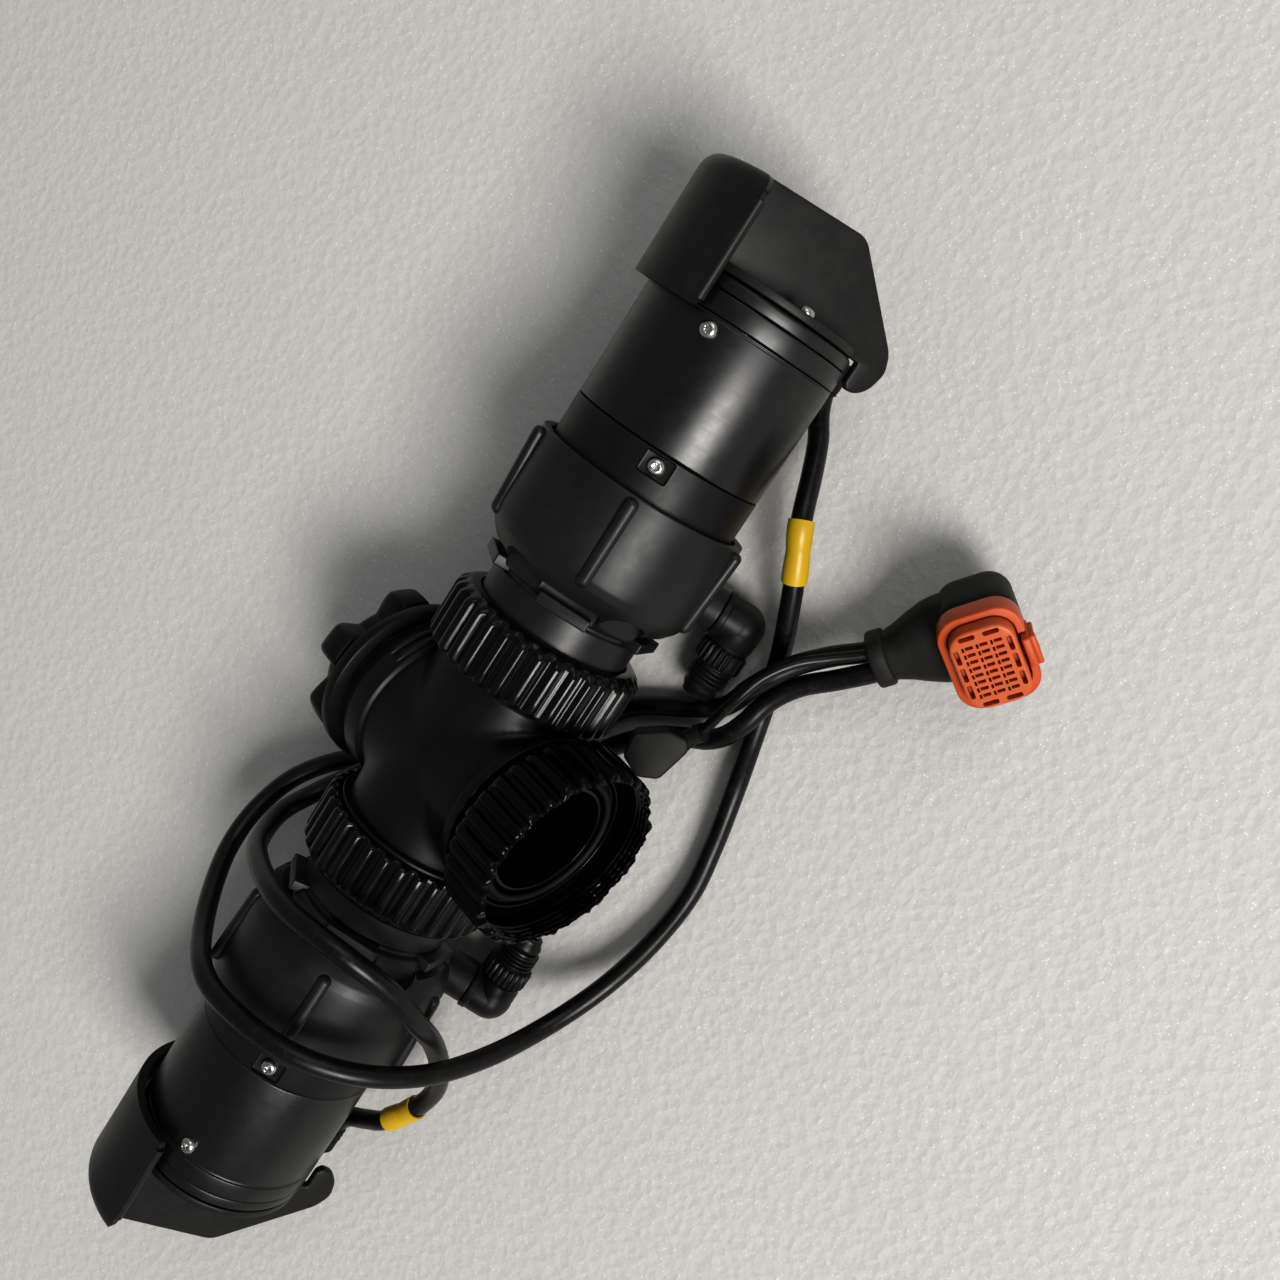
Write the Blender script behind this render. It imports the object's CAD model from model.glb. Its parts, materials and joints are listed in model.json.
"""A twin pump set: two motor pumps on one axis, a cross manifold between them and a cable
harness that ends in a sealed connector, all on a floor sheet.

Shapes are drawn in millimetres with X along the pump axis: unit a lies at +X, and unit b is
its mirror image at -X. Z is up until the whole set is turned about X by TILT, scaled to metres
and moved onto the axis of the CAD motor can. Angles about X start at +Z and grow towards -Y.
"""

import json
import math

import bmesh
import bpy
import numpy as np
from mathutils import Matrix, Vector

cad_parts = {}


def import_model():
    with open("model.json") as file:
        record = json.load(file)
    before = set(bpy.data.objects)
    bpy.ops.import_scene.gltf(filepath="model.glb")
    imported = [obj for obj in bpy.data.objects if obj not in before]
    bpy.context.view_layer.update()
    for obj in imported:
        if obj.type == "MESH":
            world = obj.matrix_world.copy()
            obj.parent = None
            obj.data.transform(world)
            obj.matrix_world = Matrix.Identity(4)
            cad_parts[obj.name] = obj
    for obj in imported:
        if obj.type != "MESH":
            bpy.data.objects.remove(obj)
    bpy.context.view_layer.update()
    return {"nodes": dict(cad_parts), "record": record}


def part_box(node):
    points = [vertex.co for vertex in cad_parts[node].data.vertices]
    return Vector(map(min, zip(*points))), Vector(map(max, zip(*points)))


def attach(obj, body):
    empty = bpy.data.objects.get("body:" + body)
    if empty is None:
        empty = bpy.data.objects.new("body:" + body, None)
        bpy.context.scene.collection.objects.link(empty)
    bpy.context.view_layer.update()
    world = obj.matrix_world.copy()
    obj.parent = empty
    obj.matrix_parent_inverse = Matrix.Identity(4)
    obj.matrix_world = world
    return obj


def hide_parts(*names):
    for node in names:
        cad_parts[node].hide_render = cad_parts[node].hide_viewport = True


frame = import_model()
SCENE = bpy.context.scene


# ---------------------------------------------------------------- placing in the part frame
def turn_matrix(degrees):
    """Rotation about X."""
    cosine, sine = math.cos(math.radians(degrees)), math.sin(math.radians(degrees))
    return np.array([[1, 0, 0], [0, cosine, -sine], [0, sine, cosine]])


def around(degrees):
    """Unit vector square to the pump axis."""
    return np.array([0.0, -math.sin(math.radians(degrees)), math.cos(math.radians(degrees))])


def polar(x, degrees, radius):
    """Point at x along the pump axis, at an angle and a radius about it."""
    return around(degrees) * radius + np.array([x, 0, 0])


MILLIMETRE = 0.001
TILT = turn_matrix(18.8)
can_low, can_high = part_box("motor_can_a")
AXIS_PLACE = np.array([0.0, (can_low.y + can_high.y) / 2, (can_low.z + can_high.z) / 2])
PORT_AXIS = around(51.4)
NUT_RADIUS = 34.0  # crowns of the union nuts and the port nut
GLAND_Y, GLAND_Z = -31.5, -25.0  # where each cable leaves its motor


def world(points):
    """Drawing points in millimetres to part-frame points in metres."""
    return (np.asarray(points, float).reshape(-1, 3) * MILLIMETRE) @ TILT.T + AXIS_PLACE


# ---------------------------------------------------------------- outlines
def ease(start, end, value):
    """Smooth step from 0 at start to 1 at end."""
    t = np.clip((np.asarray(value, float) - start) / (end - start), 0, 1)
    return t * t * (3 - 2 * t)


def round_corner(before, corner, after, radius, share, steps):
    """Curve in place of a corner; it uses at most `share` of either side."""
    before, corner, after = (np.array(point, float) for point in (before, corner, after))
    back, ahead = before - corner, after - corner
    back_length, ahead_length = np.linalg.norm(back), np.linalg.norm(ahead)
    reach = min(radius, back_length * share, ahead_length * share)
    start = corner + back / back_length * reach
    end = corner + ahead / ahead_length * reach
    return [tuple((1 - t) ** 2 * start + 2 * t * (1 - t) * corner + t * t * end)
            for t in (k / steps for k in range(steps + 1))]


def fillet(profile, radius, steps=3):
    """Rounds the corners of an open (x, r) outline and leaves nearly straight ones alone."""
    rounded = [profile[0]]
    for before, corner, after in zip(profile, profile[1:], profile[2:]):
        back, ahead = np.subtract(before, corner), np.subtract(after, corner)
        if back @ ahead / np.linalg.norm(back) / np.linalg.norm(ahead) < -0.985:
            rounded.append(corner)
        else:
            rounded += round_corner(before, corner, after, radius, 0.45, steps)
    return rounded + [profile[-1]]


def fillet_ring(profile, radius, steps=3):
    """Closed (x, r) outline with every corner rounded."""
    body = fillet([profile[-1]] + profile + [profile[0]], radius, steps)[1:-1]
    return body + [body[0]]


def fillet_polygon(points, radii, steps=6):
    """Rounds a closed 2D outline with one radius, or one per corner."""
    count = len(points)
    radii = np.broadcast_to(radii, count)
    rounded = []
    for i in range(count):
        rounded += round_corner(points[i - 1], points[i], points[(i + 1) % count],
                                radii[i], 0.48, steps)
    return rounded


def counter_clockwise(outline):
    area = sum(p[0] * q[1] - q[0] * p[1] for p, q in zip(outline, outline[1:] + outline[:1]))
    return outline if area > 0 else outline[::-1]


def rounded_rect(width, height, radius, steps):
    radius = min(radius, width / 2 - 1e-4, height / 2 - 1e-4)
    along, across = width / 2 - radius, height / 2 - radius
    points = []
    for x, y, start in ((along, across, 0), (-along, across, 90),
                        (-along, -across, 180), (along, -across, 270)):
        for i in range(steps + 1):
            angle = math.radians(start + 90 * i / steps)
            points.append((x + radius * math.cos(angle), y + radius * math.sin(angle)))
    return points


def curve_through(points, steps=14):
    """Centripetal Catmull-Rom curve."""
    knots = [np.array(point, float) for point in points]
    knots = [2 * knots[0] - knots[1]] + knots + [2 * knots[-1] - knots[-2]]
    curve = []
    for p0, p1, p2, p3 in zip(knots, knots[1:], knots[2:], knots[3:]):
        gap0, gap1, gap2 = (max(np.linalg.norm(b - a), 1e-6) ** 0.5
                            for a, b in ((p0, p1), (p1, p2), (p2, p3)))
        leave = ((p1 - p0) / gap0 - (p2 - p0) / (gap0 + gap1) + (p2 - p1) / gap1) * gap1
        arrive = ((p2 - p1) / gap1 - (p3 - p1) / (gap1 + gap2) + (p3 - p2) / gap2) * gap1
        for k in range(steps):
            t = k / steps
            curve.append((2 * t ** 3 - 3 * t * t + 1) * p1 + (t ** 3 - 2 * t * t + t) * leave
                         + (-2 * t ** 3 + 3 * t * t) * p2 + (t ** 3 - t * t) * arrive)
    return np.array(curve + [knots[-2]])


# ---------------------------------------------------------------- shapes: (vertices, faces)
def skin(sections, capped=True):
    """Joins closed sections of equal length, each an (n, 3) array."""
    count = len(sections[0])
    faces = []
    for i in range(len(sections) - 1):
        for j in range(count):
            k = (j + 1) % count
            faces.append((i * count + j, i * count + k,
                          (i + 1) * count + k, (i + 1) * count + j))
    if capped:
        faces.append(tuple(range(count - 1, -1, -1)))
        faces.append(tuple((len(sections) - 1) * count + j for j in range(count)))
    return np.concatenate(sections), faces


def lathe(profile, segments, wave=None):
    """Body about X from (x, r) or (x, r, amount) points; r grows by amount * wave(theta)."""
    theta = np.arange(segments) * 2 * math.pi / segments
    ripple = wave(theta) if wave else np.zeros(segments)
    rings = []
    for x, radius, *amount in profile:
        radii = np.maximum(radius + (amount[0] * ripple if amount else 0), 0)
        radii = radii * np.ones(segments)
        rings.append(np.stack([np.full(segments, float(x)),
                               -radii * np.sin(theta), radii * np.cos(theta)], 1))
    return skin(rings, capped=False)


def prism(outline, low, high, inset=0.0, steps=1):
    """Extrudes a counter-clockwise outline along Z, with rounded rims if inset > 0."""
    outline = np.asarray(outline, float)
    side = np.roll(outline, -1, 0) - outline
    normal = np.stack([side[:, 1], -side[:, 0]], 1)
    normal /= np.maximum(np.linalg.norm(normal, axis=1, keepdims=True), 1e-9)
    normal = normal + np.roll(normal, 1, 0)
    normal /= np.maximum(np.linalg.norm(normal, axis=1, keepdims=True), 1e-9)
    levels = [(low, 0), (high, 0)]
    if inset > 0:
        angles = [math.pi / 2 * k / steps for k in range(steps, -1, -1)]
        lower = [(low + inset * (1 - math.sin(a)), inset * (1 - math.cos(a))) for a in angles]
        levels = lower + [(high - (z - low), back) for z, back in reversed(lower)]
    return skin([np.concatenate([outline - normal * back, np.full((len(outline), 1), z)], 1)
                 for z, back in levels])


def box(size, centre, radius):
    """Box with rounded rims."""
    outline = rounded_rect(size[0], size[1], radius, 4)
    inset = min(radius, size[2] * 0.45)
    return move(prism(outline, -size[2] / 2, size[2] / 2, inset, 3), centre)


def sweep(path, radius, segments, capped=True):
    """Tube whose section is carried without twist; radius is one number or one per point."""
    path = np.asarray(path, float)
    headings = np.gradient(path, axis=0)
    headings /= np.linalg.norm(headings, axis=1, keepdims=True)
    across = np.cross(headings[0], [0.0, 0, 1.0])
    across /= np.linalg.norm(across)
    theta = np.arange(segments) * 2 * math.pi / segments
    rings = []
    for point, heading, reach in zip(path, headings, np.broadcast_to(radius, len(path))):
        across = across - heading * (across @ heading)
        across /= np.linalg.norm(across)
        upward = np.cross(heading, across)
        rings.append(point + reach * (np.outer(np.cos(theta), across)
                                      + np.outer(np.sin(theta), upward)))
    return skin(rings, capped)


def aim(shape, axis, place=(0, 0, 0)):
    """Swings +X onto axis by the shortest turn, then moves the shape."""
    axis = np.asarray(axis, float)
    axis = axis / np.linalg.norm(axis)
    swing = np.array(Vector((1.0, 0, 0)).rotation_difference(Vector(axis)).to_matrix())
    return shape[0] @ swing.T + np.asarray(place, float), shape[1]


def move(shape, step):
    return shape[0] + np.asarray(step, float), shape[1]


def turn(shape, degrees):
    """Turns the shape about X."""
    return shape[0] @ turn_matrix(degrees).T, shape[1]


def mirror(shape):
    """Mirrors the shape in the plane x = 0."""
    return shape[0] * np.array([-1, 1, 1]), [tuple(reversed(face)) for face in shape[1]]


def join(*shapes):
    vertices, faces, offset = [], [], 0
    for points, polygons in shapes:
        vertices.append(points)
        faces += [tuple(i + offset for i in polygon) for polygon in polygons]
        offset += len(points)
    return np.concatenate(vertices), faces


def rib_wave(count, crown, foot, phase=0.0):
    """Wave of `count` slightly domed ribs; crown and foot are shares of half a pitch."""
    def wave(theta):
        turns = (theta * count / (2 * math.pi) + phase) % 1.0
        t = np.abs(turns - 0.5) * 2
        return 1 - ease(crown, foot, t) - 0.10 * np.clip(t / crown, 0, 1) ** 2 * (t < foot)
    return wave


# ---------------------------------------------------------------- objects
MERGE_DISTANCE = 2e-6  # metres
SLIVER_LENGTH = 1e-7  # metres
MATERIALS = {}


def shade_smooth(mesh, sharp):
    mesh.polygons.foreach_set("use_smooth", [True] * len(mesh.polygons))
    mesh.set_sharp_from_angle(angle=math.radians(sharp))


def build(name, shape, sharp=35):
    """Bare object from a shape; edges over `sharp` degrees stay crisp."""
    mesh = bpy.data.meshes.new(name)
    mesh.from_pydata([tuple(point) for point in world(shape[0])], [],
                     [tuple(face) for face in shape[1]])
    work = bmesh.new()
    work.from_mesh(mesh)
    bmesh.ops.remove_doubles(work, verts=work.verts, dist=MERGE_DISTANCE)
    bmesh.ops.dissolve_degenerate(work, edges=work.edges, dist=SLIVER_LENGTH)
    bmesh.ops.recalc_face_normals(work, faces=work.faces)
    work.to_mesh(mesh)
    work.free()
    shade_smooth(mesh, sharp)
    obj = bpy.data.objects.new(name, mesh)
    SCENE.collection.objects.link(obj)
    return obj


def bake(obj, sharp=35):
    """Replaces the mesh by the result of its modifiers."""
    bpy.context.view_layer.update()
    graph = bpy.context.evaluated_depsgraph_get()
    mesh = bpy.data.meshes.new_from_object(obj.evaluated_get(graph))
    old = obj.data
    obj.modifiers.clear()
    obj.data = mesh
    bpy.data.meshes.remove(old)
    shade_smooth(mesh, sharp)


def cut(obj, tools, operation="DIFFERENCE"):
    """Boolean with throw-away tools, one by one."""
    for tool in tools:
        before = obj.data.copy()
        for solver in ("EXACT", "MANIFOLD", "FLOAT", "FAST"):
            modifier = obj.modifiers.new("cut", "BOOLEAN")
            # Not every Blender version knows every solver name.
            try:
                modifier.solver = solver
            except TypeError:
                obj.modifiers.remove(modifier)
                continue
            modifier.operation = operation
            modifier.object = tool
            bake(obj)
            # A solver that loses most of the mesh is swapped for the next.
            if len(obj.data.polygons) > 0.5 * len(before.polygons):
                break
            obj.data = before.copy()
        bpy.data.meshes.remove(before)
    for tool in tools:
        mesh = tool.data
        bpy.data.objects.remove(tool)
        bpy.data.meshes.remove(mesh)


def add_bevel(obj, width, segments, angle):
    bevel = obj.modifiers.new("edge", "BEVEL")
    bevel.width = width * MILLIMETRE
    bevel.segments = segments
    bevel.limit_method = "ANGLE"
    bevel.angle_limit = math.radians(angle)
    bevel.harden_normals = True


def finish(obj, material, slot=None, body="root", replaces=None, bevel=None):
    obj.data.materials.clear()  # a boolean may leave an empty slot
    obj.data.materials.append(MATERIALS[material])
    if bevel:
        add_bevel(obj, **bevel)
    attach(obj, body)
    if replaces:
        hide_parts(replaces)


def piece(name, shape, material, tools=(), sharp=35, **entries):
    obj = build(name, shape, sharp)
    cut(obj, [build("tool", tool) for tool in tools])
    finish(obj, material, **entries)


def side_piece(side, name, shape, material, replaces=None, tools=(), **entries):
    """Piece of unit a or b, drawn for unit a."""
    handed = (lambda drawn: drawn) if side == "a" else mirror
    piece(f"{name}_{side}", handed(shape), material, tools=[handed(tool) for tool in tools],
          replaces=replaces and f"{replaces}_{side}", **entries)


# ---------------------------------------------------------------- material tools
def shade(rgb, gain, lift=0.0):
    return tuple(min(1, value * gain + lift) for value in rgb)


class Shader:
    """Node tree of one material; its methods add nodes and return their outputs."""

    def __init__(self, name):
        self.name = name
        self.material = bpy.data.materials.new(name)
        self.material.use_nodes = True
        self.tree = self.material.node_tree
        self.coordinates = self.node("ShaderNodeTexCoord").outputs["Object"]

    def node(self, kind):
        return self.tree.nodes.new(kind)

    def feed(self, socket, value):
        """Sets a socket from a number, an RGB tuple or another node's output."""
        if isinstance(value, (int, float)):
            socket.default_value = value
        elif isinstance(value, tuple):
            socket.default_value = (*value, 1)
        else:
            self.tree.links.new(value, socket)

    def mapped(self, scale, rotation=(0, 0, 0)):
        node = self.node("ShaderNodeMapping")
        node.inputs["Scale"].default_value = scale
        node.inputs["Rotation"].default_value = rotation
        self.feed(node.inputs["Vector"], self.coordinates)
        return node.outputs["Vector"]

    def noise(self, scale, detail=3.0, rough=0.55, vector=None, distortion=0.0):
        node = self.node("ShaderNodeTexNoise")
        self.feed(node.inputs["Scale"], scale)
        self.feed(node.inputs["Detail"], detail)
        self.feed(node.inputs["Roughness"], rough)
        self.feed(node.inputs["Distortion"], distortion)
        self.feed(node.inputs["Vector"], vector or self.coordinates)
        return node.outputs["Fac"]

    def voronoi(self, scale, output="Distance"):
        node = self.node("ShaderNodeTexVoronoi")
        self.feed(node.inputs["Scale"], scale)
        self.feed(node.inputs["Vector"], self.coordinates)
        return node.outputs[output]

    def remap(self, value, span, to=(0, 1)):
        node = self.node("ShaderNodeMapRange")
        for name, number in zip(("From Min", "From Max", "To Min", "To Max"), (*span, *to)):
            self.feed(node.inputs[name], number)
        self.feed(node.inputs["Value"], value)
        return node.outputs["Result"]

    def math(self, operation, first, second):
        node = self.node("ShaderNodeMath")
        node.operation = operation
        self.feed(node.inputs[0], first)
        self.feed(node.inputs[1], second)
        return node.outputs[0]

    def times(self, first, second):
        return self.math("MULTIPLY", first, second)

    def plus(self, first, second):
        return self.math("ADD", first, second)

    def weighted(self, first, second):
        """Sum of two (value, weight) pairs."""
        return self.plus(self.times(*first), self.times(*second))

    def vary(self, value, noise, amount):
        """Shifts value by a noise centred on one half."""
        return self.plus(value, self.times(self.math("SUBTRACT", noise, 0.5), amount))

    def specks(self, scale, size, patch_scale):
        """Small dots that gather in patches."""
        dots = self.remap(self.voronoi(scale), span=(0.0, size), to=(1, 0))
        patches = self.remap(self.noise(patch_scale, detail=2), span=(0.60, 0.72))
        return self.times(dots, patches)

    def mix(self, factor, first, second):
        node = self.node("ShaderNodeMix")
        node.data_type = "RGBA"
        self.feed(node.inputs["Factor"], factor)
        # The node has one A and one B socket per data type.
        for name, value in (("A", first), ("B", second)):
            socket = [s for s in node.inputs if s.name == name and s.type == "RGBA"][0]
            self.feed(socket, value)
        return [s for s in node.outputs if s.type == "RGBA"][0]

    def tint(self, base, mask, amount, rgb):
        return self.mix(self.times(mask, amount), base, rgb)

    def bump(self, height, strength, distance, under=None):
        node = self.node("ShaderNodeBump")
        self.feed(node.inputs["Strength"], strength)
        self.feed(node.inputs["Distance"], distance)
        self.feed(node.inputs["Height"], height)
        if under is not None:
            self.feed(node.inputs["Normal"], under)
        return node.outputs["Normal"]

    def output(self, colour, roughness, normal, specular=0.5, metallic=0.0):
        inputs = self.tree.nodes["Principled BSDF"].inputs
        self.feed(inputs["Base Color"], colour)
        self.feed(inputs["Metallic"], metallic)
        self.feed(inputs["Roughness"], roughness)
        self.feed(inputs["Normal"], normal)
        self.feed(inputs["Specular IOR Level"], specular)
        MATERIALS[self.name] = self.material


# ---------------------------------------------------------------- materials
def polymer(name, rgb, rough, grain, dust, wear=0.25, specular=0.5,
            dust_rgb=(0.30, 0.29, 0.27), lumps=0.0, scratch=0.15):
    """Moulded polymer with scuffs, edge wear and dust on upward faces.

    rough is (mean, spread); grain is (scale, height in metres, strength)."""
    mean, spread = rough
    grain_scale, grain_height, grain_strength = grain
    mat = Shader(name)
    fine = mat.noise(grain_scale, detail=3.0, rough=0.6)
    cells = mat.voronoi(grain_scale * 0.8)
    mid = mat.noise(scale=160, detail=4.0, rough=0.6)
    slow = mat.noise(scale=22, detail=4.0, rough=0.6, distortion=0.6)
    # Scuffs: two sets of streaks, stretched in different directions.
    streaks = mat.noise(scale=90, detail=5.0, rough=0.65,
                        vector=mat.mapped(scale=(9, 1, 1), rotation=(0.4, 0.7, 0.3)))
    crossing = mat.noise(scale=70, detail=6.0, rough=0.7,
                         vector=mat.mapped(scale=(1, 1, 12), rotation=(0.9, 0.2, 1.3)))
    scuff = mat.times(mat.remap(streaks, span=(0.60, 0.78)), mat.remap(slow, span=(0.42, 0.62)))
    scuff = mat.plus(scuff, mat.times(mat.remap(crossing, span=(0.64, 0.8)), 0.7))
    geometry = mat.node("ShaderNodeNewGeometry")
    edge = mat.times(mat.remap(geometry.outputs["Pointiness"], span=(0.53, 0.62)),
                     mat.remap(mid, span=(0.3, 0.6), to=(0.35, 1)))
    # Dust: settles on faces that look up, in patches of two sizes.
    facing = mat.node("ShaderNodeSeparateXYZ")
    mat.feed(facing.inputs[0], geometry.outputs["Normal"])
    upward = mat.remap(facing.outputs["Z"], span=(0.1, 1.0), to=(0.15, 1))
    dusty = mat.times(upward, mat.remap(mid, span=(0.38, 0.75), to=(0.1, 1)))
    dusty = mat.times(dusty, mat.remap(slow, span=(0.3, 0.75), to=(0.3, 1)))
    specks = mat.specks(scale=620, size=0.13, patch_scale=75)

    base = mat.mix(slow, shade(rgb, gain=0.55), shade(rgb, gain=1.05))
    base = mat.tint(base, dusty, amount=dust, rgb=dust_rgb)
    base = mat.tint(base, scuff, amount=0.08, rgb=shade(rgb, gain=6, lift=0.03))
    base = mat.tint(base, edge, amount=wear * 0.07, rgb=shade(rgb, gain=6, lift=0.05))
    base = mat.tint(base, specks, amount=0.14, rgb=(0.40, 0.39, 0.37))
    # Roughness: drifts with the slow noise; scuffs and dust dull it.
    roughness = mat.remap(slow, span=(0.25, 0.75), to=(mean - spread, mean + spread))
    roughness = mat.vary(roughness, mid, amount=spread * 1.1)
    roughness = mat.plus(roughness, mat.times(scuff, 0.10))
    roughness = mat.plus(roughness, mat.times(dusty, 0.10))
    normal = mat.bump(mat.weighted((fine, 0.6), (cells, 0.5)), grain_strength, grain_height)
    normal = mat.bump(scuff, strength=scratch, distance=0.00004, under=normal)
    waves = mat.noise(scale=45, detail=2.0)
    normal = mat.bump(waves, strength=0.12 + lumps, distance=0.0003, under=normal)
    mat.output(base, roughness, normal, specular=specular * 0.85)


def metal(name, rgb, rough, stretch, bump):
    """Bare metal with drawn-out grain; rough is (mean, spread)."""
    mean, spread = rough
    mat = Shader(name)
    grain = mat.noise(scale=300, detail=4.0, rough=0.6, vector=mat.mapped(stretch))
    slow = mat.noise(scale=60, detail=3.0)
    shading = mat.remap(mat.weighted((slow, 0.6), (grain, 0.4)), span=(0.35, 0.7))
    mat.output(mat.mix(shading, shade(rgb, gain=0.72), rgb),
               mat.remap(grain, span=(0.3, 0.7), to=(mean - spread, mean + spread)),
               mat.bump(grain, strength=bump, distance=0.00005), metallic=1.0)


def anodised():
    """Black anodised tube: faint turning lines round the axis, satin sheen, small rubs."""
    mat = Shader("anodised_can")
    lines = mat.noise(scale=260, detail=3.0, rough=0.6, vector=mat.mapped((14, 0.4, 0.4)))
    slow = mat.noise(scale=20, detail=4.0, rough=0.6, distortion=0.5)
    mid = mat.noise(scale=210, detail=4.0, rough=0.6)
    streaks = mat.noise(scale=85, detail=6.0, rough=0.7,
                        vector=mat.mapped(scale=(1, 7, 7), rotation=(0.5, 0.1, 0.2)))
    rubs = mat.times(mat.remap(streaks, span=(0.62, 0.8)), mat.remap(slow, span=(0.45, 0.65)))
    base = mat.mix(slow, (0.0022, 0.0022, 0.0024), (0.0042, 0.0042, 0.0045))
    base = mat.tint(base, rubs, amount=0.10, rgb=(0.16, 0.16, 0.16))
    specks = mat.specks(scale=560, size=0.12, patch_scale=60)
    base = mat.tint(base, specks, amount=0.15, rgb=(0.4, 0.4, 0.38))
    roughness = mat.remap(slow, span=(0.25, 0.75), to=(0.30, 0.40))
    roughness = mat.vary(roughness, mid, amount=0.16)
    roughness = mat.vary(roughness, lines, amount=0.12)
    grain = mat.noise(scale=1900, detail=2)
    height = mat.weighted((lines, 0.6), (grain, 0.5))
    normal = mat.bump(height, strength=0.16, distance=0.00004)
    mat.output(base, roughness, normal, specular=0.66, metallic=0.1)


def jacket():
    """Semi-gloss cable jacket with dull patches and fine dust."""
    rgb = (0.0030, 0.0030, 0.0032)
    mat = Shader("cable_jacket")
    slow = mat.noise(scale=35, detail=4.0, rough=0.6)
    mid = mat.noise(scale=420, detail=4.0, rough=0.6)
    fine = mat.noise(scale=1700, detail=2.0)
    base = mat.mix(slow, shade(rgb, gain=0.7), shade(rgb, gain=1.7))
    dusty = mat.remap(mid, span=(0.55, 0.8))
    base = mat.tint(base, dusty, amount=0.10, rgb=(0.16, 0.155, 0.15))
    roughness = mat.remap(slow, span=(0.3, 0.7), to=(0.26, 0.42))
    roughness = mat.vary(roughness, mid, amount=0.22)
    height = mat.weighted((mid, 0.6), (fine, 0.4))
    normal = mat.bump(height, strength=0.16, distance=0.00006)
    mat.output(base, roughness, normal, specular=0.34)


polymer("housing_plastic", rgb=(0.0110, 0.0110, 0.0116), rough=(0.40, 0.06),
        grain=(1500, 0.00003, 0.30), dust=0.018, wear=0.5, specular=0.46)
polymer("collar_plastic", rgb=(0.0068, 0.0068, 0.0072), rough=(0.42, 0.07),
        grain=(1700, 0.00002, 0.22), dust=0.012, wear=0.5, specular=0.34)
polymer("guard_plastic", rgb=(0.0100, 0.0094, 0.0090), rough=(0.42, 0.09),
        grain=(1300, 0.000035, 0.30), dust=0.03, wear=0.8, specular=0.40, scratch=0.3)
polymer("manifold_plastic", rgb=(0.0046, 0.0046, 0.0048), rough=(0.36, 0.08),
        grain=(1500, 0.00002, 0.2), dust=0.008, wear=0.4, specular=0.3)
polymer("knob_plastic", rgb=(0.0040, 0.0040, 0.0042), rough=(0.38, 0.08),
        grain=(1500, 0.00003, 0.28), dust=0.006, wear=0.6, specular=0.24)
polymer("elbow_plastic", rgb=(0.0058, 0.0058, 0.0060), rough=(0.38, 0.08),
        grain=(1500, 0.00002, 0.2), dust=0.010, wear=0.5, specular=0.34)
polymer("nut_gloss", rgb=(0.0030, 0.0031, 0.0033), rough=(0.19, 0.07),
        grain=(700, 0.00003, 0.10), dust=0.002, wear=0.4, specular=0.36, lumps=0.35,
        scratch=0.3)
polymer("port_gloss", rgb=(0.0012, 0.0012, 0.0013), rough=(0.17, 0.07),
        grain=(420, 0.00006, 0.16), dust=0.0, wear=0.1, specular=0.22, lumps=1.0, scratch=0.4)
anodised()
jacket()
polymer("seal_rubber", rgb=(0.0045, 0.0045, 0.0045), rough=(0.60, 0.08),
        grain=(900, 0.00004, 0.3), dust=0.02, specular=0.3)
polymer("connector_black", rgb=(0.0100, 0.0096, 0.0090), rough=(0.52, 0.06),
        grain=(1100, 0.00004, 0.45), dust=0.05, wear=0.6, specular=0.34)
polymer("sleeve_yellow", rgb=(0.66, 0.42, 0.010), rough=(0.34, 0.08),
        grain=(1200, 0.00002, 0.14), dust=0.05, dust_rgb=(0.4, 0.33, 0.15), wear=0.0)
polymer("lock_orange", rgb=(0.60, 0.092, 0.012), rough=(0.36, 0.07),
        grain=(1400, 0.00002, 0.14), dust=0.04, dust_rgb=(0.6, 0.35, 0.2), wear=0.0)
polymer("face_orange", rgb=(0.64, 0.135, 0.032), rough=(0.36, 0.07),
        grain=(1400, 0.00002, 0.14), dust=0.05, dust_rgb=(0.7, 0.45, 0.3), wear=0.0)
polymer("slot_dark", rgb=(0.16, 0.022, 0.006), rough=(0.55, 0.05),
        grain=(1200, 0.00002, 0.1), dust=0.0, wear=0.0)
metal("screw_steel", rgb=(0.62, 0.61, 0.59), rough=(0.26, 0.08), stretch=(6, 6, 6), bump=0.1)
metal("shaft_steel", rgb=(0.55, 0.55, 0.56), rough=(0.24, 0.06), stretch=(30, 1, 1), bump=0.1)
metal("magnet", rgb=(0.22, 0.22, 0.23), rough=(0.38, 0.08), stretch=(3, 3, 3), bump=0.15)
metal("winding", rgb=(0.62, 0.26, 0.12), rough=(0.34, 0.08), stretch=(50, 2, 2), bump=0.5)
polymer("ceramic", rgb=(0.74, 0.72, 0.66), rough=(0.16, 0.04),
        grain=(1600, 0.00001, 0.05), dust=0.0, wear=0.0)
polymer("wet_plastic", rgb=(0.55, 0.54, 0.48), rough=(0.34, 0.06),
        grain=(1300, 0.00002, 0.15), dust=0.0, wear=0.0)

slot_of = {part["node"]: part["material_slot"] for part in frame["record"]["subparts"]}
for node_name, cad_object in frame["nodes"].items():
    cad_object.data.materials.clear()
    cad_object.data.materials.append(MATERIALS[slot_of[node_name]])

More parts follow.
